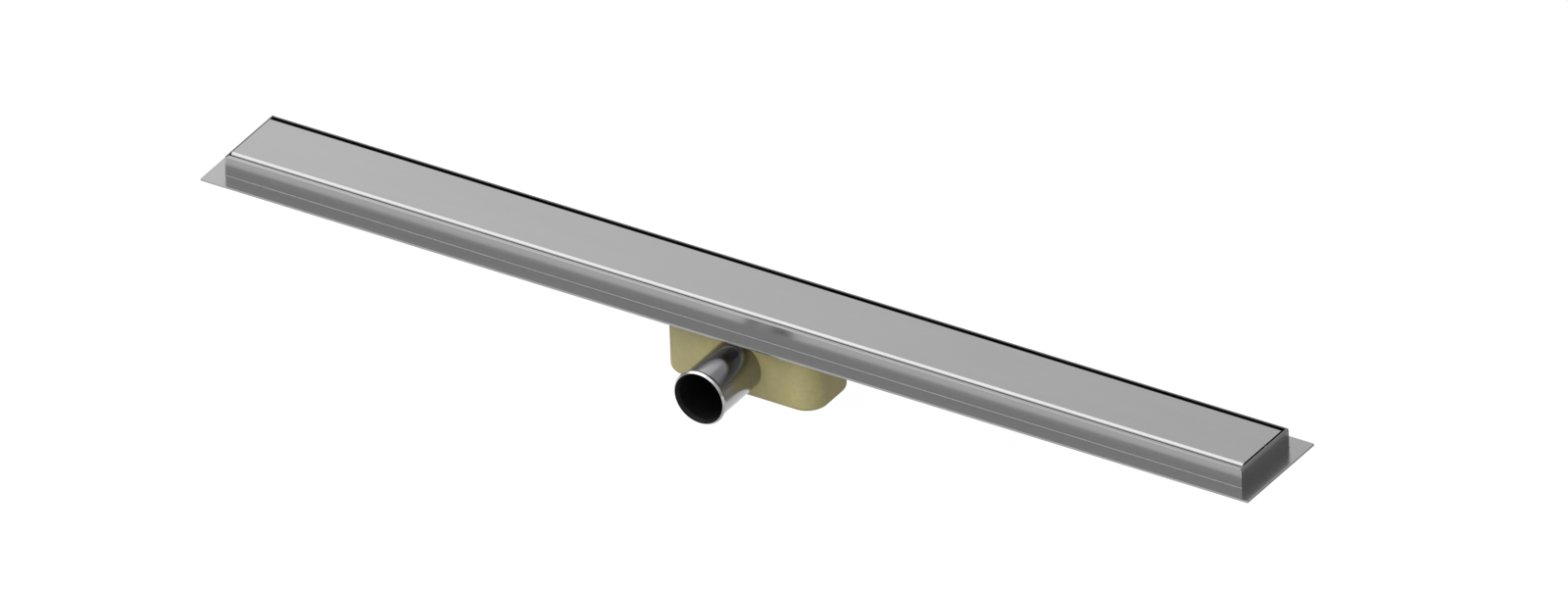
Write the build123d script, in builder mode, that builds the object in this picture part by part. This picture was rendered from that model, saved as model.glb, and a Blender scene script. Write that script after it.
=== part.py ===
from build123d import *
import os

# Linear shower drain: a folded stainless channel with a flat flange all round,
# a closed cover plate with its slot along the back wall, a coated trap box under
# the middle and a round outlet pipe towards the front (-Y).
# X runs along the channel, Y across it, Z up. The origin is the middle of the
# trap box's underside, so the drain stands on Z = 0.

# ---------------------------------------------------------------- dimensions
sheet = 1.5              # stainless sheet
top_length = 900.0       # outside of the upstand, end to end
top_width = 68.0         # outside of the upstand, side to side
upstand = 16.5           # long walls above the flange
end_rise = 0.2           # the end plates stand this much above the long walls
flange_end = 13.8        # flange beyond each end
flange_side = 13.8       # flange beyond each long wall
flange_top = 57.5        # flange's upper face above the trap's underside
weld = 0.5               # weld round the upstand's foot
bend = 3.0               # outside bend radius of the folded sheet

floor_mid = 49.0         # underside of the channel floor over the trap
floor_end = 52.0         # underside of the channel floor at the ends
floor_flat = 75.0        # half length of the level stretch over the trap
floor_slot = (100.0, 46.0)   # opening in the floor
fold_top = 55.0          # the floor's two bends end here and the flat walls begin

cover_length = 895.4
cover_width = 58.4
cover_top = 75.2
cover_leg = 12.0
cover_fold = 3.5         # height of the plate with its two bends

strip_thick = 1.85       # strip inside the front wall, level with its top
strip_height = 10.0

box_length = 136.9       # trap box, at its upper edge
box_width = 59.2
box_corner = 18.6        # plan radius
box_foot = 4.0           # radius round the underside
box_taper = 0.6          # degrees
box_rim = 3.5            # welding rim

pipe_z = 25.85           # outlet axis above the underside
pipe_outer = 21.2        # 42.4 mm tube
pipe_wall = 1.2
pipe_mouth = -85.1       # plane of the mouth
lip_outer = 22.6         # bead behind the mouth
lip_bead = 1.6           # distance of the bead's crest from the mouth
lip_inner = 21.15        # opening at the mouth
lip_length = 4.6
neck = 0.5               # low neck round the pipe on the box

support_x = (-410.0, -262.0, -114.0, 114.0, 262.0, 410.0)
support_length = 20.0
support_half = 27.4      # outside of the bridge, just inside the cover's legs
support_foot = 9.0       # feet turned inwards
pad_thick = 2.0

collar = (96.0, 42.0)    # dip tube where it passes the floor
dip = (86.0, 32.0)       # dip tube inside the cup
dip_wall = 1.8
dip_flange = (112.0, 54.0)
dip_low = 10.0           # lower edge of the dip tube
cup = (98.0, 44.0)
cup_wall = 1.8
cup_floor = 4.5
cup_rim = 34.0           # the water stands as high as this rim
seal_thick = 1.5
sieve_thick = 1.0

# derived
wall_top = flange_top + upstand
half_l = top_length / 2
half_w = top_width / 2
trough_half = half_l - sheet
floor_in = floor_mid + sheet
box_y = -box_width / 2
fall = (floor_end - floor_mid) / (trough_half - floor_flat)


def floor_at(x):
    """Upper face of the channel floor at x."""
    return floor_mid + sheet * 1.0001 + max(0.0, abs(x) - floor_flat) * fall


os.makedirs("parts", exist_ok=True)


# ------------------------------------------------------------ channel trough
# One folded sheet: two long walls and a floor that falls to the middle. The
# floor with its two bends and each flat wall are solids of their own.
with BuildPart() as channel_floor:
    with BuildSketch(Plane.XZ):
        with BuildLine():
            Polyline(
                (-trough_half, fold_top),
                (trough_half, fold_top),
                (trough_half, floor_end),
                (floor_flat, floor_mid),
                (-floor_flat, floor_mid),
                (-trough_half, floor_end),
                close=True,
            )
        make_face()
    extrude(amount=half_w, both=True)
    lower = [
        e
        for e in channel_floor.edges()
        if abs(abs(e.center().Y) - half_w) < 0.01
        and e.center().Z < flange_top - 4
        and abs(e.tangent_at(0.5).X) > 0.9
    ]
    fillet(lower, radius=bend)
    open_faces = channel_floor.faces().sort_by(Axis.Z)[-1:] + [
        f for f in channel_floor.faces() if abs(abs(f.center().X) - trough_half) < 0.01
    ]
    offset(amount=-sheet, openings=open_faces)
    with BuildSketch(Plane.XY.offset(floor_mid - 1)):
        SlotOverall(floor_slot[0], floor_slot[1])
    extrude(amount=sheet + 2, mode=Mode.SUBTRACT)

channel_floor.part.label = "channel_floor"
export_step(channel_floor.part, "parts/channel_floor.step")

for side, name in ((-1, "front"), (1, "back")):
    with BuildPart() as channel_wall:
        with BuildSketch(Plane.XY.offset(fold_top)):
            with Locations((0, side * (half_w - sheet / 2))):
                Rectangle(2 * trough_half, sheet)
        extrude(amount=wall_top - fold_top)
    channel_wall.part.label = f"channel_wall_{name}"
    export_step(channel_wall.part, f"parts/channel_wall_{name}.step")

# Flat strip welded inside the front wall. The cover stands close to it, so that
# the drain's open slot is the one along the back wall.
with BuildPart() as wall_strip:
    with BuildSketch(Plane.XY.offset(wall_top - strip_height)):
        with Locations((0, -half_w + sheet + strip_thick / 2)):
            Rectangle(2 * trough_half, strip_thick)
    extrude(amount=strip_height)

wall_strip.part.label = "wall_strip"
export_step(wall_strip.part, "parts/wall_strip.step")


# ----------------------------------------------------------------- end plates
# Flat plates welded over the trough's open ends and ground flush.
def end_plate(side):
    x0 = side * trough_half
    with BuildPart() as plate:
        with BuildSketch(Plane(origin=(x0, 0, 0), x_dir=(0, 1, 0), z_dir=(1, 0, 0))):
            with BuildLine():
                Polyline(
                    (-half_w, wall_top + end_rise),
                    (half_w, wall_top + end_rise),
                    (half_w, floor_end),
                    (-half_w, floor_end),
                    close=True,
                )
            face = make_face()
            fillet(face.vertices().group_by(Axis.Y)[0], radius=bend)
        extrude(amount=side * sheet)
        outer = [
            e
            for e in plate.edges()
            if abs(e.center().X - side * half_l) < 0.01
            and abs(e.center().Z - (wall_top + end_rise)) < 0.01
        ]
        fillet(outer, radius=1.3)
    return plate.part


end_left = end_plate(-1)
end_left.label = "end_plate_left"
export_step(end_left, "parts/end_plate_left.step")

end_right = end_plate(1)
end_right.label = "end_plate_right"
export_step(end_right, "parts/end_plate_right.step")


# --------------------------------------------------------------- flange frame
# One flat sheet frame, welded round the upstand's foot. The sealing membrane is
# bonded to its upper face.
with BuildPart() as flange_frame:
    with BuildSketch(Plane.XY.offset(flange_top - sheet)):
        RectangleRounded(
            top_length + 2 * flange_end, top_width + 2 * flange_side, 0.8
        )
        Rectangle(top_length, top_width, mode=Mode.SUBTRACT)
    extrude(amount=sheet)
    with BuildSketch(Plane.XY.offset(flange_top)):
        Rectangle(top_length + 2 * weld, top_width + 2 * weld)
        Rectangle(top_length, top_width, mode=Mode.SUBTRACT)
    extrude(amount=weld)
    bead = [
        e
        for e in flange_frame.edges()
        if abs(e.center().Z - (flange_top + weld)) < 0.01
        and (
            abs(abs(e.center().Y) - (half_w + weld)) < 0.01
            or abs(abs(e.center().X) - (half_l + weld)) < 0.01
        )
    ]
    chamfer(bead, length=0.4)

flange_frame.part.label = "flange_frame"
export_step(flange_frame.part, "parts/flange_frame.step")


# -------------------------------------------------------------------- trap box
# Deep-drawn pan with a rim at its upper edge, welded under the channel floor.
with BuildPart() as box_cavity:
    with BuildSketch(Plane.XY.offset(floor_mid)):
        RectangleRounded(
            box_length - 2 * sheet, box_width - 2 * sheet, box_corner - sheet
        )
    extrude(amount=-(floor_mid - sheet), taper=box_taper)
    fillet(box_cavity.faces().sort_by(Axis.Z)[0].edges(), radius=box_foot - sheet)

with BuildPart() as trap_box:
    with BuildSketch(Plane.XY.offset(floor_mid)):
        RectangleRounded(box_length, box_width, box_corner)
    extrude(amount=-floor_mid, taper=box_taper)
    fillet(trap_box.faces().sort_by(Axis.Z)[0].edges(), radius=box_foot)
    add(box_cavity.part, mode=Mode.SUBTRACT)
    with BuildSketch(Plane.XY.offset(floor_mid - sheet)):
        RectangleRounded(
            box_length + 2 * box_rim, box_width + 2 * box_rim, box_corner + box_rim
        )
        RectangleRounded(
            box_length - 2, box_width - 2, box_corner - 1, mode=Mode.SUBTRACT
        )
    extrude(amount=sheet)
    # short neck round the pipe, rounded off towards it
    with BuildSketch(Plane.YZ):
        with BuildLine():
            Polyline(
                (box_y + 0.9, pipe_z + pipe_outer - 0.4),
                (box_y + 0.9, pipe_z + pipe_outer + neck),
                (box_y - 0.1, pipe_z + pipe_outer + neck),
                (box_y - 0.35, pipe_z + pipe_outer + neck / 2),
                (box_y - 0.45, pipe_z + pipe_outer + 0.1),
                (box_y - 0.45, pipe_z + pipe_outer - 0.4),
                close=True,
            )
        make_face()
    revolve(axis=Axis((0, 0, pipe_z), (0, 1, 0)))
    with BuildSketch(Plane(origin=(0, box_y + 10, pipe_z), x_dir=(1, 0, 0), z_dir=(0, -1, 0))):
        Circle(pipe_outer)
    extrude(amount=20, mode=Mode.SUBTRACT)

trap_box.part.label = "trap_box"
export_step(trap_box.part, "parts/trap_box.step")


# ----------------------------------------------------------------- outlet pipe
# Tube with a rounded bead and a thin edge at its mouth. It goes through the
# box's wall and ends just inside its inner face.
pipe_inner = pipe_outer - pipe_wall
pipe_in_y = box_y + sheet + 0.6
with BuildPart() as outlet_pipe:
    with BuildSketch(Plane.YZ) as pipe_profile:
        with BuildLine():
            Polyline(
                (pipe_in_y, pipe_z + pipe_inner),
                (pipe_in_y, pipe_z + pipe_outer),
                (pipe_mouth + lip_length, pipe_z + pipe_outer),
                (pipe_mouth + lip_bead, pipe_z + lip_outer + 0.2),
                (pipe_mouth, pipe_z + lip_inner + 0.25),
                (pipe_mouth, pipe_z + lip_inner),
                (pipe_mouth + lip_length, pipe_z + pipe_inner),
                close=True,
            )
        make_face()
        crest = [v for v in pipe_profile.vertices() if v.Y > pipe_z + lip_outer]
        fillet(crest, radius=0.8)
        soft = [
            v
            for v in pipe_profile.vertices()
            if abs(v.X - pipe_mouth - lip_length) < 0.01
        ]
        fillet(soft, radius=2.0)
    revolve(axis=Axis((0, 0, pipe_z), (0, 1, 0)))

outlet_pipe.part.label = "outlet_pipe"
export_step(outlet_pipe.part, "parts/outlet_pipe.step")


# ----------------------------------------------------------------- cover plate
# Closed plate with both long edges folded down over a 3 mm radius. The flat
# legs below the bends are solids of their own.
with BuildPart() as cover_plate:
    with BuildSketch(Plane.XY.offset(cover_top - cover_fold)):
        Rectangle(cover_length, cover_width)
    extrude(amount=cover_fold)
    fillet(
        cover_plate.edges().filter_by(Axis.X).group_by(Axis.Z)[-1], radius=bend
    )
    cover_open = [
        f
        for f in cover_plate.faces()
        if abs(abs(f.center().X) - cover_length / 2) < 0.01
        or abs(f.center().Z - (cover_top - cover_fold)) < 0.01
    ]
    offset(amount=-sheet, openings=cover_open)

cover_plate.part.label = "cover_plate"
export_step(cover_plate.part, "parts/cover_plate.step")

for side, name in ((-1, "front"), (1, "back")):
    with BuildPart() as cover_side:
        with BuildSketch(Plane.XY.offset(cover_top - cover_leg)):
            with Locations((0, side * (cover_width / 2 - sheet / 2))):
                Rectangle(cover_length, sheet)
        extrude(amount=cover_leg - cover_fold)
    cover_side.part.label = f"cover_leg_{name}"
    export_step(cover_side.part, f"parts/cover_leg_{name}.step")


# -------------------------------------------- bridges and pads under the cover
# Each bridge is a bent strip spot-welded to the channel floor, so water runs
# under it. A rubber pad on its back carries the cover and keeps it quiet.
bridge_top = cover_top - sheet - pad_thick
for n, x in enumerate(support_x, start=1):
    foot_top = floor_at(x) + sheet
    with BuildPart() as bridge:
        with BuildSketch(Plane(origin=(x - support_length / 2, 0, 0), x_dir=(0, 1, 0), z_dir=(1, 0, 0))):
            with BuildLine():
                Polyline(
                    (-support_half, floor_mid + 1),
                    (-support_half, bridge_top),
                    (support_half, bridge_top),
                    (support_half, floor_mid + 1),
                    (support_half - support_foot, floor_mid + 1),
                    (support_half - support_foot, foot_top),
                    (support_half - sheet, foot_top),
                    (support_half - sheet, bridge_top - sheet),
                    (-support_half + sheet, bridge_top - sheet),
                    (-support_half + sheet, foot_top),
                    (-support_half + support_foot, foot_top),
                    (-support_half + support_foot, floor_mid + 1),
                    close=True,
                )
            bridge_face = make_face()
            fillet(
                [v for v in bridge_face.vertices() if abs(v.Y - bridge_top) < 0.01],
                radius=2.6,
            )
            fillet(
                [v for v in bridge_face.vertices() if abs(v.Y - bridge_top + sheet) < 0.01],
                radius=1.1,
            )
        extrude(amount=support_length)
        # the underside of each foot follows the fall of the floor
        with BuildSketch(Plane.XZ):
            with BuildLine():
                Polyline(
                    (-trough_half, floor_at(trough_half)),
                    (-floor_flat, floor_at(0)),
                    (floor_flat, floor_at(0)),
                    (trough_half, floor_at(trough_half)),
                    (trough_half, 0),
                    (-trough_half, 0),
                    close=True,
                )
            make_face()
        extrude(amount=half_w, both=True, mode=Mode.SUBTRACT)
    bridge.part.label = f"cover_support_{n}"
    export_step(bridge.part, f"parts/cover_support_{n}.step")

    with BuildPart() as pad:
        with BuildSketch(Plane.XY.offset(bridge_top)):
            with Locations((x, 0)):
                RectangleRounded(support_length, 44.0, 2.0)
        extrude(amount=pad_thick)
    pad.part.label = f"support_pad_{n}"
    export_step(pad.part, f"parts/support_pad_{n}.step")


# -------------------------------------------------------------------- dip tube
# Moulded insert that hangs in the floor opening by its flange and reaches down
# into the cup, so that the water in the cup shuts off the pipe's air.
dip_flange_top = floor_in + seal_thick + 2.4
with BuildPart() as dip_tube:
    with BuildSketch(Plane.XY.offset(floor_in + seal_thick)):
        SlotOverall(dip_flange[0], dip_flange[1])
    extrude(amount=2.4)
    with BuildSketch(Plane.XY.offset(40.0)):
        SlotOverall(collar[0], collar[1])
    extrude(amount=floor_in + seal_thick - 40.0)
    with BuildSketch(Plane.XY.offset(dip_low)):
        SlotOverall(dip[0], dip[1])
    extrude(amount=40.0 - dip_low)
    with BuildSketch(Plane.XY.offset(dip_low)):
        SlotOverall(dip[0] - 2 * dip_wall, dip[1] - 2 * dip_wall)
    extrude(amount=dip_flange_top - dip_low, mode=Mode.SUBTRACT)
    # funnel above the narrow tube
    with BuildSketch(Plane.XY.offset(dip_flange_top)):
        SlotOverall(collar[0] - 2 * dip_wall, collar[1] - 2 * dip_wall)
    with BuildSketch(Plane.XY.offset(42.0)):
        SlotOverall(dip[0] - 2 * dip_wall, dip[1] - 2 * dip_wall)
    loft(mode=Mode.SUBTRACT)

dip_tube.part.label = "dip_tube"
export_step(dip_tube.part, "parts/dip_tube.step")


# ---------------------------------------------------------------- dip tube seal
with BuildPart() as dip_tube_seal:
    with BuildSketch(Plane.XY.offset(floor_in)):
        SlotOverall(dip_flange[0] - 2, dip_flange[1] - 2)
        SlotOverall(collar[0] + 0.6, collar[1] + 0.6, mode=Mode.SUBTRACT)
    extrude(amount=seal_thick)

dip_tube_seal.part.label = "dip_tube_seal"
export_step(dip_tube_seal.part, "parts/dip_tube_seal.step")


# -------------------------------------------------------------------- trap cup
# Oblong cup on four short feet. Water leaves over its rim into the trap box.
with BuildPart() as trap_cup:
    with BuildSketch(Plane.XY.offset(cup_floor)):
        SlotOverall(cup[0], cup[1])
    extrude(amount=cup_rim - cup_floor)
    fillet(trap_cup.faces().sort_by(Axis.Z)[0].edges(), radius=3.0)
    offset(amount=-cup_wall, openings=trap_cup.faces().sort_by(Axis.Z)[-1])
    with BuildSketch(Plane.XY.offset(sheet)):
        with GridLocations(60.0, 24.0, 2, 2):
            Circle(3.0)
    extrude(amount=cup_floor - sheet + 0.2)
    # upright ribs that centre the dip tube in the cup
    with BuildSketch(Plane.XY.offset(cup_floor + cup_wall - 0.2)):
        for sx in (-1, 1):
            with Locations((sx * 26.0, cup[1] / 2 - cup_wall - 1.9), (sx * 26.0, -(cup[1] / 2 - cup_wall - 1.9))):
                Rectangle(2.0, 4.0)
    extrude(amount=cup_rim - cup_floor - cup_wall - 4.0)

trap_cup.part.label = "trap_cup"
export_step(trap_cup.part, "parts/trap_cup.step")


# ------------------------------------------------------------------ hair sieve
with BuildPart() as hair_sieve:
    with BuildSketch(Plane.XY.offset(dip_flange_top)):
        SlotOverall(dip_flange[0] - 4, dip_flange[1] - 4)
        with GridLocations(9.0, 9.0, 9, 4):
            Circle(2.6, mode=Mode.SUBTRACT)
    extrude(amount=sieve_thick)

hair_sieve.part.label = "hair_sieve"
export_step(hair_sieve.part, "parts/hair_sieve.step")


# ---------------------------------------------------------------- sieve handle
# Bent strip, welded to the sieve by both feet.
handle_z = dip_flange_top + sieve_thick
with BuildPart() as sieve_handle:
    with BuildSketch(Plane.XZ):
        with BuildLine():
            Polyline(
                (-20.0, handle_z),
                (-12.0, handle_z),
                (-12.0, handle_z + 12.0),
                (12.0, handle_z + 12.0),
                (12.0, handle_z),
                (20.0, handle_z),
                (20.0, handle_z + 1.2),
                (13.2, handle_z + 1.2),
                (13.2, handle_z + 13.2),
                (-13.2, handle_z + 13.2),
                (-13.2, handle_z + 1.2),
                (-20.0, handle_z + 1.2),
                close=True,
            )
        handle_face = make_face()
        fillet([v for v in handle_face.vertices() if v.Y > handle_z + 12.5], radius=3.0)
        fillet(
            [v for v in handle_face.vertices() if abs(v.Y - handle_z - 12.0) < 0.01],
            radius=1.8,
        )
    extrude(amount=3.5, both=True)

sieve_handle.part.label = "sieve_handle"
export_step(sieve_handle.part, "parts/sieve_handle.step")
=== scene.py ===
import math

import bpy
from mathutils import Matrix, Vector


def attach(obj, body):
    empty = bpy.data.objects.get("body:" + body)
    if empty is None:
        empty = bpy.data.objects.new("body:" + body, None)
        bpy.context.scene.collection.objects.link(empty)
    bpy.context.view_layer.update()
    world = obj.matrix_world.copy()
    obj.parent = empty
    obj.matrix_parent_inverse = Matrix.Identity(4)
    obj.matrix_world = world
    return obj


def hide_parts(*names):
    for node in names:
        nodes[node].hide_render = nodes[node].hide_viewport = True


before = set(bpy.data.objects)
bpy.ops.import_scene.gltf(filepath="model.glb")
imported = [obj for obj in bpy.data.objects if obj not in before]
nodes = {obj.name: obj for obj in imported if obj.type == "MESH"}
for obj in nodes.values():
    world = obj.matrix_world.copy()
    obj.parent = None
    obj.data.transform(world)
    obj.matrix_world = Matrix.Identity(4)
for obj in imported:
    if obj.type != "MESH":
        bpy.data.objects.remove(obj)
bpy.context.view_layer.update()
scene = bpy.context.scene
MM = 0.001

# ------------------------------------------------------------------ the camera
AZ, EL, ROLL = math.radians(32.5), math.radians(31.8), math.radians(1.43)
PX_PER_MM = 1.3556  # in a picture 1600 wide
CENTRE_PX = (772.7, 317.6)  # where the drain's middle at flange height stands
back = Vector(
    (
        math.sin(AZ) * math.cos(EL),
        -math.cos(AZ) * math.cos(EL),
        math.sin(EL),
    )
)
right0 = Vector((math.cos(AZ), math.sin(AZ), 0))
up0 = back.cross(right0)
right = right0 * math.cos(ROLL) - up0 * math.sin(ROLL)
up = right0 * math.sin(ROLL) + up0 * math.cos(ROLL)
cam_data = bpy.data.cameras.new("camera")
cam_data.type = "ORTHO"
cam_data.ortho_scale = 1600 / PX_PER_MM * MM
cam_data.clip_start, cam_data.clip_end = 0.05, 60
cam = bpy.data.objects.new("camera", cam_data)
scene.collection.objects.link(cam)
scene.camera = cam
target = Vector((0, 0, 57.5 * MM))
place = (
    target
    + right * ((800 - CENTRE_PX[0]) / PX_PER_MM * MM)
    + up * ((CENTRE_PX[1] - 301) / PX_PER_MM * MM)
    + back * 4
)
cam.matrix_world = Matrix.Translation(place) @ Matrix((right, up, back)).transposed().to_4x4()
scene.view_settings.view_transform = "Standard"
scene.view_settings.look = "None"


# ------------------------------------------------------------- node utilities
class Tree:
    def __init__(self, tree):
        self.t = tree
        tree.nodes.clear()

    def add(self, kind):
        return self.t.nodes.new(kind)

    def link(self, a, b):
        self.t.links.new(a, b)

    def math(self, op, a, b=None, clamp=False):
        n = self.t.nodes.new("ShaderNodeMath")
        n.operation, n.use_clamp = op, clamp
        for i, v in enumerate((a, b)):
            if v is None:
                continue
            if isinstance(v, (int, float)):
                n.inputs[i].default_value = v
            else:
                self.link(v, n.inputs[i])
        return n.outputs[0]

    def dot(self, vector, axis):
        n = self.t.nodes.new("ShaderNodeVectorMath")
        n.operation = "DOT_PRODUCT"
        self.link(vector, n.inputs[0])
        n.inputs[1].default_value = Vector(axis).normalized()
        return n.outputs["Value"]

    def ramp(self, value, lo, hi, out_lo, out_hi, kind="SMOOTHSTEP"):
        n = self.t.nodes.new("ShaderNodeMapRange")
        n.interpolation_type = kind
        self.link(value, n.inputs["Value"])
        for name, v in (("From Min", lo), ("From Max", hi), ("To Min", out_lo), ("To Max", out_hi)):
            n.inputs[name].default_value = v
        return n.outputs["Result"]

    def noise(self, vector, scale, detail=2.0, rough=0.5):
        n = self.t.nodes.new("ShaderNodeTexNoise")
        n.inputs["Scale"].default_value = scale
        n.inputs["Detail"].default_value = detail
        n.inputs["Roughness"].default_value = rough
        self.link(vector, n.inputs["Vector"])
        return n.outputs["Fac"]

    def mapping(self, vector, scale=(1, 1, 1), rot=(0, 0, 0), loc=(0, 0, 0)):
        n = self.t.nodes.new("ShaderNodeMapping")
        n.inputs["Scale"].default_value = scale
        n.inputs["Rotation"].default_value = rot
        n.inputs["Location"].default_value = loc
        self.link(vector, n.inputs["Vector"])
        return n.outputs["Vector"]

    def mix(self, fac, a, b):
        n = self.t.nodes.new("ShaderNodeMix")
        n.data_type = "RGBA"
        if isinstance(fac, (int, float)):
            n.inputs["Factor"].default_value = fac
        else:
            self.link(fac, n.inputs["Factor"])
        for i, c in ((6, a), (7, b)):
            if isinstance(c, tuple):
                n.inputs[i].default_value = (*c, 1)
            else:
                self.link(c, n.inputs[i])
        return n.outputs[2]


def material(name):
    m = bpy.data.materials.new(name)
    m.use_nodes = True
    t = Tree(m.node_tree)
    out = t.add("ShaderNodeOutputMaterial")
    p = t.add("ShaderNodeBsdfPrincipled")
    t.link(p.outputs[0], out.inputs["Surface"])
    where = t.add("ShaderNodeTexCoord").outputs["Object"]
    return m, t, p, where


def bump(t, p, height, distance, strength=1.0):
    b = t.add("ShaderNodeBump")
    b.inputs["Distance"].default_value = distance
    b.inputs["Strength"].default_value = strength
    t.link(height, b.inputs["Height"])
    t.link(b.outputs[0], p.inputs["Normal"])


def steel(name, base, rough, streak_axis="X", streak=0.02, cloud=0.008, skin=0.000002):
    """Satin sheet steel: fine lines along one axis and a faint unevenness."""
    m, t, p, where = material(name)
    stretch = {"X": (7, 1100, 1100), "Y": (1100, 7, 1100), "Z": (1100, 1100, 7)}[streak_axis]
    lines = t.noise(t.mapping(where, stretch), 1.0, 3.0, 0.6)
    broad = t.noise(t.mapping(where, (9, 40, 40)), 1.0, 2.0, 0.5)
    tone = t.math("ADD", t.ramp(lines, 0.3, 0.7, -streak, streak), t.ramp(broad, 0.3, 0.7, -cloud, cloud))
    fac = t.math("ADD", tone, 0.5, clamp=True)
    dark = tuple(c * 0.5 for c in base)
    light = tuple(c * 1.5 for c in base)
    t.link(t.mix(fac, dark, light), p.inputs["Base Color"])
    p.inputs["Metallic"].default_value = 1.0
    t.link(t.ramp(lines, 0.25, 0.75, rough * 0.85, rough * 1.2), p.inputs["Roughness"])
    bump(t, p, lines, skin)
    return m


def coating():
    """Matt beige anti-drumming coat: a mottled tone and a fine orange-peel skin, with painted shade that
    darkens it towards the left and beside the outlet pipe.
    """
    m, t, p, where = material("trap_coat")
    big = t.noise(where, 60, 3.0, 0.55)
    mid = t.noise(where, 280, 3.0, 0.6)
    fine = t.noise(where, 1300, 2.0, 0.6)
    c1 = t.mix(t.ramp(big, 0.38, 0.62, 0.0, 1.0), (0.64, 0.572, 0.290), (0.71, 0.63, 0.267))
    c2 = t.mix(t.ramp(mid, 0.42, 0.7, 0.0, 0.5), c1, (0.585, 0.52, 0.241))
    xyz = t.add("ShaderNodeSeparateXYZ")
    t.link(where, xyz.inputs[0])
    beside = t.math("ABSOLUTE", t.math("SUBTRACT", xyz.outputs[0], 0.034))
    # Painted shade: the coat is mixed towards a darker beige towards -X and in a band around x = 34 mm beside
    # the outlet pipe.
    coat_painted_shade = t.math(
        "MAXIMUM",
        t.ramp(xyz.outputs[0], -0.055, 0.040, 0.37, 0.0),
        t.ramp(beside, 0.006, 0.022, 0.35, 0.0),
    )
    t.link(t.mix(coat_painted_shade, c2, (0.42, 0.375, 0.172)), p.inputs["Base Color"])
    t.link(t.ramp(fine, 0.3, 0.7, 0.5, 0.65), p.inputs["Roughness"])
    p.inputs["Specular IOR Level"].default_value = 0.35
    h = t.math("ADD", t.math("MULTIPLY", mid, 1.0), t.math("MULTIPLY", fine, 0.4))
    bump(t, p, h, 0.0003, 0.5)
    return m


def plastic():
    m, t, p, where = material("insert_plastic")
    n = t.noise(where, 400, 3.0, 0.6)
    t.link(t.mix(n, (0.018, 0.018, 0.019), (0.030, 0.030, 0.031)), p.inputs["Base Color"])
    t.link(t.ramp(n, 0.3, 0.7, 0.35, 0.5), p.inputs["Roughness"])
    bump(t, p, n, 0.00003)
    return m


def rubber():
    m, t, p, where = material("black_rubber")
    n = t.noise(where, 900, 3.0, 0.6)
    t.link(t.mix(n, (0.018, 0.018, 0.018), (0.035, 0.035, 0.035)), p.inputs["Base Color"])
    t.link(t.ramp(n, 0.3, 0.7, 0.55, 0.8), p.inputs["Roughness"])
    bump(t, p, n, 0.00004)
    return m


def tube_steel():
    """Ground tube: fine rings round it outside, with a painted highlight on the top of the mouth's lip; inside
    dull, its base painted dark as shade in the bore, with a random mottle.
    """
    m, t, p, where = material("tube_steel")
    xyz = t.add("ShaderNodeSeparateXYZ")
    t.link(where, xyz.inputs[0])
    dz = t.math("SUBTRACT", xyz.outputs[2], 0.02585)
    radius = t.math(
        "SQRT", t.math("ADD", t.math("MULTIPLY", xyz.outputs[0], xyz.outputs[0]), t.math("MULTIPLY", dz, dz))
    )
    outside = t.ramp(radius, 0.0206, 0.0211, 0.0, 1.0)
    rings = t.noise(t.mapping(where, (60, 1500, 60)), 1.0, 3.0, 0.6)
    bore_mottle = t.noise(where, 90, 3.0, 0.6)
    skin = t.mix(t.ramp(rings, 0.3, 0.7, 0.0, 1.0), (0.325, 0.325, 0.335), (0.345, 0.345, 0.355))
    # Painted shade: the bore's base colour is a dark grey (0.07 to 0.13, mottled) in place of steel.
    painted_bore_shade = t.mix(bore_mottle, (0.07, 0.07, 0.07), (0.13, 0.13, 0.13))
    # Painted highlight: at the mouth end (y below about -83 mm) and towards its top (z from 24 mm, full at 36
    # mm), the skin is mixed to a lighter 0.50 grey.
    painted_lip_highlight = t.math(
        "MULTIPLY",
        t.ramp(xyz.outputs[1], -0.0838, -0.0828, 1.0, 0.0),
        t.ramp(xyz.outputs[2], 0.024, 0.036, 0.0, 1.0),
    )
    skin = t.mix(painted_lip_highlight, skin, (0.50, 0.50, 0.51))
    t.link(t.mix(outside, painted_bore_shade, skin), p.inputs["Base Color"])
    p.inputs["Metallic"].default_value = 1.0
    t.link(
        t.math("ADD", t.ramp(outside, 0, 1, 0.45, 0.19, "LINEAR"), t.ramp(rings, 0.3, 0.7, -0.02, 0.02)),
        p.inputs["Roughness"],
    )
    bump(t, p, rings, 0.000002)
    return m


def weld():
    """Fine dull weld bead with a slight ripple."""
    m, t, p, where = material("weld_bead")
    n = t.noise(where, 700, 3.0, 0.6)
    t.link(t.mix(n, (0.20, 0.20, 0.20), (0.28, 0.28, 0.28)), p.inputs["Base Color"])
    p.inputs["Metallic"].default_value = 1.0
    t.link(t.ramp(n, 0.3, 0.7, 0.35, 0.5), p.inputs["Roughness"])
    bump(t, p, n, 0.00004)
    return m


R = 0.33
M = {
    "channel": steel("channel_steel", (R, R, R), 0.20),
    # Painted shade: this dark steel (base 0.11) goes on the cover's end faces and back bend, the back wall's
    # top rim and the end plates' tops, where shade falls.
    "edge": steel("painted_shade_steel", (0.11, 0.11, 0.11), 0.36),
    # A darker steel (base 0.19) for the weld bead across the flange's ends, also used as painted shade on the
    # cover's back bend.
    "end_weld_and_painted_shade": steel("end_weld_and_painted_shade", (0.19, 0.19, 0.19), 0.36),
    "end": steel("end_plate_steel", (0.38, 0.38, 0.38), 0.20, "Y"),
    "rim": steel("end_plate_rim", (0.33, 0.33, 0.33), 0.34, "Y"),
    "cover": steel("cover_steel", (R, R, R), 0.20),
    "pipe": tube_steel(),
    "weld": weld(),
    "inner": steel("inner_steel", (0.40, 0.40, 0.40), 0.28),
    "coat": coating(),
    "plastic": plastic(),
    "rubber": rubber(),
}
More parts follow.
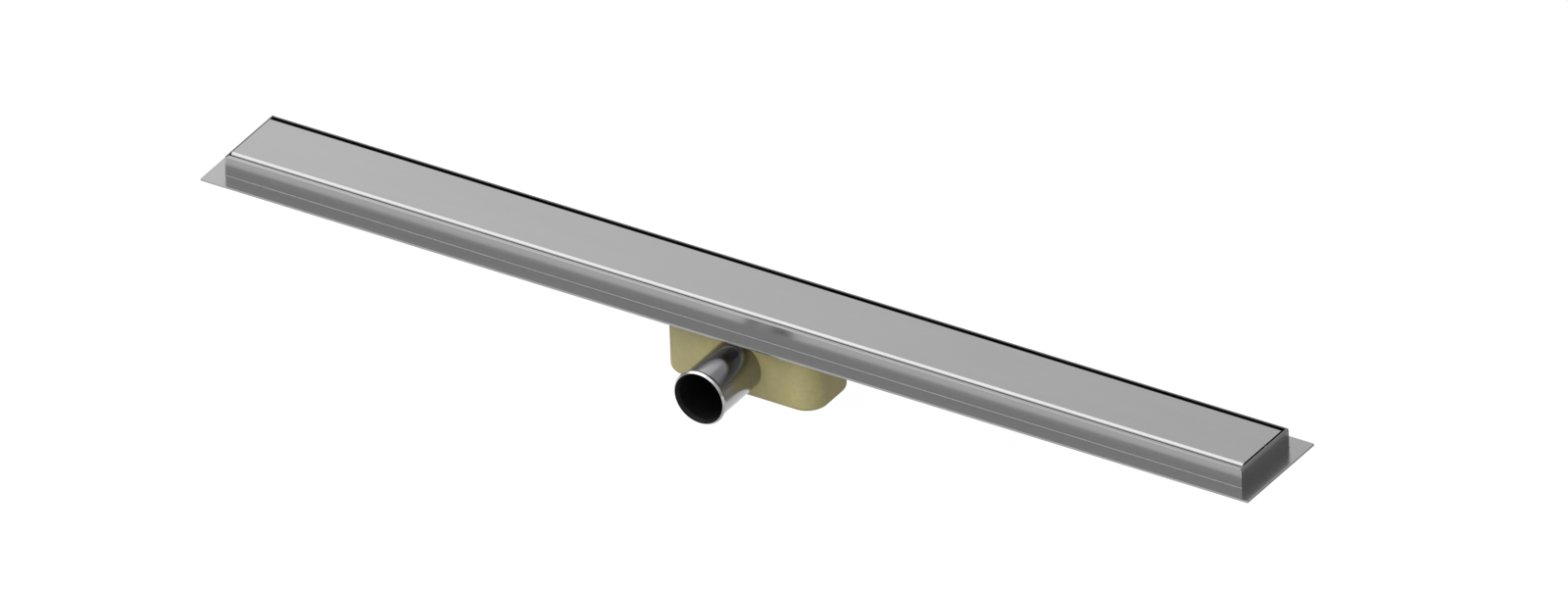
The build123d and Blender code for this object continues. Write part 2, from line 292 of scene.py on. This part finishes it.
finish = {
    "channel_floor": "channel",
    "channel_wall_front": "channel",
    "channel_wall_back": "channel",
    "wall_strip": "channel",
    "end_plate_left": "channel",
    "end_plate_right": "channel",
    "flange_frame": "channel",
    "cover_plate": "cover",
    "cover_leg_front": "cover",
    "cover_leg_back": "cover",
    "outlet_pipe": "pipe",
    "trap_box": "coat",
    "hair_sieve": "inner",
    "sieve_handle": "inner",
    "dip_tube": "plastic",
    "trap_cup": "plastic",
    "dip_tube_seal": "rubber",
}
for name, o in nodes.items():
    kind = finish.get(name) or ("rubber" if name.startswith("support_pad") else "inner")
    o.data.materials.clear()
    o.data.materials.append(M[kind])


# ---------------------------------------------------------- sheet-metal pieces
# The folded sheets and the flange are drawn again with fine bends, rounded
# edges and a weld, in the same place and size as the CAD nodes that they stand for.
SHEET, BEND = 1.5, 3.0


def piece(name, verts, faces, mats, replaced, marks=None):
    mesh = bpy.data.meshes.new(name)
    mesh.from_pydata([Vector(v) * MM for v in verts], [], faces)
    for m in mats:
        mesh.materials.append(m)
    for i, poly in enumerate(mesh.polygons):
        poly.use_smooth = True
        if marks and marks[i]:
            poly.material_index = marks[i]
    mesh.set_sharp_from_angle(angle=math.radians(40))
    o = bpy.data.objects.new(name, mesh)
    scene.collection.objects.link(o)
    w = o.modifiers.new("normals", "WEIGHTED_NORMAL")
    w.keep_sharp = True
    w.weight = 100
    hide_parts(*replaced)
    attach(o, "root")
    return o


def arc(cy, cz, r, a0, a1, n=10):
    """Points on an arc in the YZ plane, in degrees."""
    pts = []
    for i in range(n + 1):
        a = math.radians(a0 + (a1 - a0) * i / n)
        pts.append((cy + r * math.cos(a), cz + r * math.sin(a)))
    return pts


def folded(section, stations):
    """Sheet whose section(x, inset) gives an outer and an inner line of equal
    length, carried along X through stations of (x, inset)."""
    verts, faces = [], []
    ring = 0
    for x, inset in stations:
        outer, inner = section(x, inset)
        line = list(outer) + list(reversed(inner))
        ring = len(line)
        verts += [(x, y, z) for y, z in line]
    n = ring // 2
    for s in range(len(stations) - 1):
        a, b = s * ring, (s + 1) * ring
        for i in range(ring):
            j = (i + 1) % ring
            faces.append((a + i, a + j, b + j, b + i))
    for s, flip in ((0, True), (len(stations) - 1, False)):
        a = s * ring
        for i in range(n - 1):
            q = (a + i, a + i + 1, a + ring - 2 - i, a + ring - 1 - i)
            faces.append(q if flip else tuple(reversed(q)))
    return verts, faces


def mirrored(half):
    """A section line from its left half, which ends on the middle."""
    return half + [(-y, z) for y, z in reversed(half)]


def cover_section(x, e):
    w, top, leg, edge = 29.2, 75.2, 12.0, 0.35
    low = top - leg + e
    outer = (
        [(-w + SHEET / 2 - 0.01, low)]
        + arc(-w + e + edge, low + edge, edge, 270, 180, 3)
        + [(-w + e, top - BEND - 1)]
        + arc(-w + BEND, top - BEND, BEND - e, 180, 90, 16)
        + [(-w + BEND + 0.8, top - e), (-9.0, top - e)]
    )
    inner = (
        [(-w + SHEET / 2 + 0.01, low)]
        + arc(-w + SHEET - e - edge, low + edge, edge, 270, 360, 3)
        + [(-w + SHEET - e, top - BEND - 1)]
        + arc(-w + BEND, top - BEND, BEND - SHEET + e, 180, 90, 16)
        + [(-w + BEND + 0.8, top - SHEET + e), (-9.0, top - SHEET + e)]
    )
    return mirrored(outer), mirrored(inner)


def along(half, extra=(), edge=0.2):
    """Stations with a small rounding at both ends."""
    ends = [(half, edge), (half - 0.06, edge * 0.45), (half - edge, 0.0)]
    xs = sorted(set(extra) | {-x for x in extra})
    return [(-x, e) for x, e in ends] + [(x, 0.0) for x in xs] + [(x, e) for x, e in reversed(ends)]


v, f = folded(cover_section, along(447.7, (150.0, 446.0), 0.12))
# Painted shade: the cover's end faces and the back part of its back bend take the dark steel of base 0.11, and
# the part of the back bend toward the top takes the steel of base 0.19.
marks = []
for q in f:
    mx, my, mz = (sum(v[i][c] for i in q) / len(q) for c in range(3))
    cut = abs(mx) > 447.69
    bend = 26.6 < my and mz > 72.2
    marks.append(1 if cut or bend and my > 27.4 else 2 if bend else 0)
piece(
    "folded_cover",
    v,
    f,
    [M["cover"], M["edge"], M["end_weld_and_painted_shade"]],
    ["cover_plate", "cover_leg_front", "cover_leg_back"],
    marks,
)


FLAT, F_MID, F_END, T_HALF = 75.0, 49.0, 52.0, 448.5


def channel_ring(x):
    """The channel's section with the strip inside its front wall, as one ring."""
    top, w = 74.0, 34.0
    under = F_MID + max(0.0, abs(x) - FLAT) * (F_END - F_MID) / (T_HALF - FLAT)
    outer_f = (
        arc(-w + 0.25, top - 0.25, 0.25, 90, 180, 4)
        + [(-w, top - 2), (-w, under + BEND + 1)]
        + arc(-w + BEND, under + BEND, BEND, 180, 270, 14)
        + [(-w + BEND + 0.8, under), (-23.5, under)]
    )
    inner_f = (
        arc(-30.65 - 0.2, top - 0.2, 0.2, 90, 0, 3)
        + [(-30.65, 64.0), (-w + SHEET, 64.0), (-w + SHEET, under + BEND + 1)]
        + arc(-w + BEND, under + BEND, BEND - SHEET, 180, 270, 14)
        + [(-w + BEND + 0.8, under + SHEET), (-23.5, under + SHEET)]
    )
    outer_b = (
        arc(w - 0.15, top - 0.15, 0.15, 90, 0, 3)
        + [(w, top - 2), (w, under + BEND + 1)]
        + arc(w - BEND, under + BEND, BEND, 0, -90, 14)
        + [(w - BEND - 0.8, under), (23.5, under)]
    )
    inner_b = (
        arc(w - SHEET + 0.15, top - 0.15, 0.15, 90, 180, 3)
        + [(w - SHEET, top - 2), (w - SHEET, under + BEND + 1)]
        + arc(w - BEND, under + BEND, BEND - SHEET, 0, -90, 14)
        + [(w - BEND - 0.8, under + SHEET), (23.5, under + SHEET)]
    )
    counts = (len(outer_f), len(outer_b), len(inner_b), len(inner_f))
    line = outer_f + outer_b[::-1] + inner_b + inner_f[::-1]
    return [(x, y, z) for y, z in line], counts


stops = [-T_HALF, -262.0, -FLAT, -51.0, 51.0, FLAT, 262.0, T_HALF]
v, f = [], []
for x in stops:
    points, counts = channel_ring(x)
    v += points
ring = sum(counts)
mid_outer = counts[0] - 1
mid_inner = counts[0] + counts[1] + counts[2] - 1
# the floor's opening: the strip between x -51 and 51 is left out of the middle
# and closed again round a slot with round ends
for k in range(len(stops) - 1):
    for i in range(ring):
        if k == 3 and i in (mid_outer, mid_inner):
            continue
        j = (i + 1) % ring
        f.append((k * ring + i, k * ring + j, (k + 1) * ring + j, (k + 1) * ring + i))
last = (len(stops) - 1) * ring
f.append(tuple(range(ring)))
f.append(tuple(last + i for i in reversed(range(ring))))
slot_r, slot_c = 23.0, 27.0
steps = 48
for z, flip in ((F_MID, False), (F_MID + SHEET, True)):
    base = len(v)
    for i in range(steps):
        a = 2 * math.pi * i / steps
        c, sn = math.cos(a), math.sin(a)
        v.append((math.copysign(slot_c, c) * (1 if abs(c) > 1e-6 else 0) + slot_r * c, slot_r * sn, z))
    for i in range(steps):
        a = 2 * math.pi * i / steps
        c, sn = math.cos(a), math.sin(a)
        k = min(51.0 / max(1e-9, abs(c)), 23.5 / max(1e-9, abs(sn)))
        v.append((k * c, k * sn, z))
    for i in range(steps):
        j = (i + 1) % steps
        q = (base + i, base + j, base + steps + j, base + steps + i)
        f.append(q if flip else tuple(reversed(q)))
low, high = len(v) - 4 * steps, len(v) - 2 * steps
for i in range(steps):
    j = (i + 1) % steps
    f.append((low + i, high + i, high + j, low + j))
# Painted shade: the back wall's top rim takes the dark steel of base 0.11.
marks = []
for q in f:
    mid = [sum(v[i][c] for i in q) / len(q) for c in (1, 2)]
    marks.append(1 if len(q) == 4 and mid[0] > 32 and mid[1] > 73.8 else 0)
piece(
    "folded_channel",
    v,
    f,
    [M["channel"], M["edge"]],
    ["channel_floor", "channel_wall_front", "channel_wall_back", "wall_strip"],
    marks,
)


def end_plate(side):
    """Flat plate over one open end of the channel, its outer top edge rounded."""
    lo, hi = [c / MM for c in plate_box[side][0]], [c / MM for c in plate_box[side][1]]
    x0, x1 = (lo[0], hi[0]) if side > 0 else (-hi[0], -lo[0])
    y0, y1, z0, z1 = lo[1], hi[1], lo[2], hi[2]
    rx, rz = (1.2, 2.4) if side > 0 else (0.5, 0.5)
    verts, faces, marks = [], [], []
    half = [(y1, 0.12), (y1 - 0.04, 0.05), (y1 - 0.12, 0)]
    half += [(y1 - BEND + BEND * sn, 0) for c, sn in arc(0, 0, 1, 70, 0, 9)]
    stations = [(-y, e) for y, e in half] + half[::-1]
    for y, e in stations:
        over = min(BEND, max(0.0, abs(y) - (y1 - BEND)))
        foot = z0 + BEND - math.sqrt(BEND * BEND - over * over)
        line = [(x0 + e, foot + e), (x0 + e, z1 - 0.15 - e)]
        line += arc(x0 + 0.15 + e, z1 - 0.15 - e, 0.15, 180, 90, 3)[1:]
        line += [(x1 - rx + rx * c - e, z1 - rz + rz * sn - e) for c, sn in arc(0, 0, 1, 90, 0, 14)]
        line += [(x1 - e, foot + e)]
        verts += [(side * x, y, z) for x, z in line]
    ring = len(verts) // len(stations)
    for k in range(len(stations) - 1):
        a, b = k * ring, (k + 1) * ring
        for i in range(ring):
            j = (i + 1) % ring
            faces.append((a + i, a + j, b + j, b + i))
            # Painted shade: the left plate's whole top and the right plate's top inside |x| 448.7 mm take the
            # dark steel of base 0.11; the right plate's outer rounding takes the rim steel.
            top = 1 <= i < ring - 2
            mx = (abs(verts[a + i][0]) + abs(verts[a + j][0])) / 2
            marks.append(0 if not top else 2 if side < 0 or mx < 448.7 else 1)
    last = (len(stations) - 1) * ring
    faces += [tuple(reversed(range(ring))), tuple(last + i for i in range(ring))]
    marks += [0, 0]
    if side < 0:
        faces = [tuple(reversed(q)) for q in faces]
    return verts, faces, marks


plate_box = {}
for side, name in ((-1, "end_plate_left"), (1, "end_plate_right")):
    corners = [nodes[name].matrix_world @ Vector(c) for c in nodes[name].bound_box]
    plate_box[side] = [[f(c[i] for c in corners) for i in range(3)] for f in (min, max)]
for side, name in ((-1, "end_plate_left"), (1, "end_plate_right")):
    v, f, marks = end_plate(side)
    piece("rounded_" + name, v, f, [M["end"], M["rim"], M["edge"]], [name], marks)


def loop(a, b, r, z, n=6):
    """A rectangle of half sizes a and b with corner radius r, anticlockwise."""
    pts = []
    for cx, cy, start in ((a - r, b - r, 0), (-a + r, b - r, 90), (-a + r, -b + r, 180), (a - r, -b + r, 270)):
        for i in range(n + 1):
            t = math.radians(start + 90 * i / n)
            pts.append((cx + r * math.cos(t), cy + r * math.sin(t), z))
    return pts


a_in, b_in, a_out, b_out = 450.0, 34.0, 463.8, 47.8
rows = [
    (a_in, b_in, 0.02, 57.5 + 0.40),
    (a_in, b_in, 0.02, 56.0),
    (a_out - 1.0, b_out - 1.0, 0.3, 56.0),
    (a_out - 0.18, b_out - 0.18, 0.62, 56.0),
    (a_out - 0.05, b_out - 0.05, 0.75, 56.05),
    (a_out, b_out, 0.8, 56.18),
    (a_out, b_out, 0.8, 57.32),
    (a_out - 0.05, b_out - 0.05, 0.75, 57.45),
    (a_out - 0.18, b_out - 0.18, 0.62, 57.5),
    (a_out - 1.0, b_out - 1.0, 0.3, 57.5),
    (a_in + 0.8, b_in + 0.8, 0.4, 57.5),
    (a_in + 0.40, b_in + 0.40, 0.3, 57.5),
    (a_in + 0.33, b_in + 0.33, 0.25, 57.65),
    (a_in + 0.20, b_in + 0.20, 0.15, 57.80),
    (a_in + 0.05, b_in + 0.05, 0.05, 57.89),
]
v, f, marks = [], [], []
for a, b, r, z in rows:
    v += loop(a, b, r, z)
count = len(v) // len(rows)
for k in range(len(rows)):
    a, b = k * count, ((k + 1) % len(rows)) * count
    for i in range(count):
        j = (i + 1) % count
        f.append((a + i, a + j, b + j, b + i))
        on_end = abs(v[a + i][0]) > 449 and abs(v[a + j][0]) > 449 and abs(v[a + i][1] - v[a + j][1]) > 1
        marks.append(0 if k < 11 else 2 if on_end else 1)
f = [tuple(reversed(q)) for q in f]
piece("flange_with_weld", v, f, [M["channel"], M["weld"], M["end_weld_and_painted_shade"]], ["flange_frame"], marks)

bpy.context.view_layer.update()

# ------------------------------------------------------------------- the floor
floor_mesh = bpy.data.meshes.new("floor")
s = 12.0
floor_mesh.from_pydata([(-s, -s, 0), (s, -s, 0), (s, s, 0), (-s, s, 0)], [], [(0, 1, 2, 3)])
floor = bpy.data.objects.new("floor", floor_mesh)
scene.collection.objects.link(floor)
floor.visible_diffuse = False
fm = bpy.data.materials.new("floor")
fm.use_nodes = True
t = Tree(fm.node_tree)
out = t.add("ShaderNodeOutputMaterial")
diff = t.add("ShaderNodeBsdfDiffuse")
diff.inputs["Color"].default_value = (0.07, 0.07, 0.07, 1)
glow = t.add("ShaderNodeEmission")
glow.inputs["Color"].default_value = (1, 1, 1, 1)
place = t.add("ShaderNodeSeparateXYZ")
t.link(t.add("ShaderNodeTexCoord").outputs["Object"], place.inputs[0])
# Painted shadow: to reflections the floor's glow is dimmed, down to 0.36, from just in front of the drain
# backwards and beside the outlet pipe; to the camera it stays evenly bright.
under = t.ramp(place.outputs[1], -0.030, -0.006, 0.0, 1.0)
beside = t.math(
    "MULTIPLY",
    t.ramp(place.outputs[0], 0.040, 0.053, 0.0, 1.0),
    t.ramp(place.outputs[1], -0.060, -0.045, 0.0, 1.0),
)
shade = t.ramp(t.math("MAXIMUM", under, beside), 0.0, 1.0, 1.0, 0.36, "LINEAR")
direct = t.add("ShaderNodeLightPath").outputs["Is Camera Ray"]
t.link(
    t.math("MAXIMUM", shade, t.math("MULTIPLY", direct, 0.97)),
    glow.inputs["Strength"],
)
both = t.add("ShaderNodeAddShader")
clear = t.add("ShaderNodeBsdfTransparent")
pick = t.add("ShaderNodeMixShader")
geo = t.add("ShaderNodeNewGeometry")
t.link(diff.outputs[0], both.inputs[0])
t.link(glow.outputs[0], both.inputs[1])
t.link(geo.outputs["Backfacing"], pick.inputs[0])
t.link(both.outputs[0], pick.inputs[1])
t.link(clear.outputs[0], pick.inputs[2])
t.link(pick.outputs[0], out.inputs["Surface"])
floor_mesh.materials.append(fm)

# ----------------------------------------------------------------- the softbox
# A large soft panel behind the drain, a little brighter at its left, which the
# cover mirrors. Its edges fade out.
BL = Vector((-0.457, 0.717, 0.527)).normalized()
side = Vector((1, 0, 0)) - BL * BL.x
side.normalize()
rise = BL.cross(side)
if rise.z < 0:
    rise = -rise
DIST, HALF_W, HALF_H = 3.0, 1.9, 1.0
panel_mesh = bpy.data.meshes.new("softbox")
panel_mesh.from_pydata(
    [(-HALF_W, -HALF_H, 0), (HALF_W, -HALF_H, 0), (HALF_W, HALF_H, 0), (-HALF_W, HALF_H, 0)],
    [],
    [(0, 1, 2, 3)],
)
panel = bpy.data.objects.new("softbox", panel_mesh)
scene.collection.objects.link(panel)
panel.matrix_world = (
    Matrix.Translation(BL * DIST) @ Matrix((side, rise, side.cross(rise))).transposed().to_4x4()
)
panel.visible_camera = False
pm = bpy.data.materials.new("softbox")
pm.use_nodes = True
t = Tree(pm.node_tree)
out = t.add("ShaderNodeOutputMaterial")
xyz = t.add("ShaderNodeSeparateXYZ")
t.link(t.add("ShaderNodeTexCoord").outputs["Object"], xyz.inputs[0])
level = t.ramp(xyz.outputs[0], -0.5, 0.5, 1.41, 0.99, "LINEAR")
mask = t.math(
    "MULTIPLY",
    t.math(
        "MULTIPLY",
        t.ramp(xyz.outputs[0], 0.6, 1.45, 1.0, 0.0),
        t.ramp(xyz.outputs[0], -1.85, -1.0, 0.0, 1.0),
    ),
    t.ramp(t.math("ABSOLUTE", xyz.outputs[1]), 0.45, 0.98, 1.0, 0.0),
)
glow = t.add("ShaderNodeEmission")
t.link(level, glow.inputs["Strength"])
clear = t.add("ShaderNodeBsdfTransparent")
pick = t.add("ShaderNodeMixShader")
t.link(mask, pick.inputs[0])
t.link(clear.outputs[0], pick.inputs[1])
t.link(glow.outputs[0], pick.inputs[2])
t.link(pick.outputs[0], out.inputs["Surface"])
panel_mesh.materials.append(pm)

# --------------------------------------------------------------------- the sky
world = bpy.data.worlds.new("studio")
scene.world = world
world.use_nodes = True
t = Tree(world.node_tree)
out = t.add("ShaderNodeOutputWorld")
bg = t.add("ShaderNodeBackground")
way = t.add("ShaderNodeTexCoord").outputs["Generated"]


def lobe(axis, inner, outer, level):
    """A soft round light: level within `inner` degrees of axis, fading to 0 at `outer`."""
    return t.ramp(
        t.dot(way, axis), math.cos(math.radians(outer)), math.cos(math.radians(inner)), 0.0, level
    )


z = t.dot(way, (0, 0, 1))
total = t.ramp(z, 0.0, 0.6, 0.27, 0.48)
for axis, inner, outer, level in (
    ((-0.457, 0.717, 0.527), 10, 32, 0.80),
    ((-0.50, -0.05, 0.87), 25, 40, 1.95),
    ((-0.457, -0.717, 0.527), 8, 30, 0.97),
    ((0.457, -0.717, 0.527), 10, 40, 0.30),
    ((0.05, -0.63, 0.775), 7, 27, 1.1),
):
    total = t.math("ADD", total, lobe(axis, inner, outer, level))
studio = t.add("ShaderNodeBackground")
studio.inputs["Color"].default_value = (1, 1, 1, 1)
t.link(total, studio.inputs["Strength"])
seen = t.add("ShaderNodeMixShader")
t.link(t.add("ShaderNodeLightPath").outputs["Is Camera Ray"], seen.inputs[0])
t.link(studio.outputs[0], seen.inputs[1])
t.link(bg.outputs[0], seen.inputs[2])
t.link(seen.outputs[0], out.inputs["Surface"])
bg.inputs["Strength"].default_value = 1.0
bg.inputs["Color"].default_value = (1, 1, 1, 1)
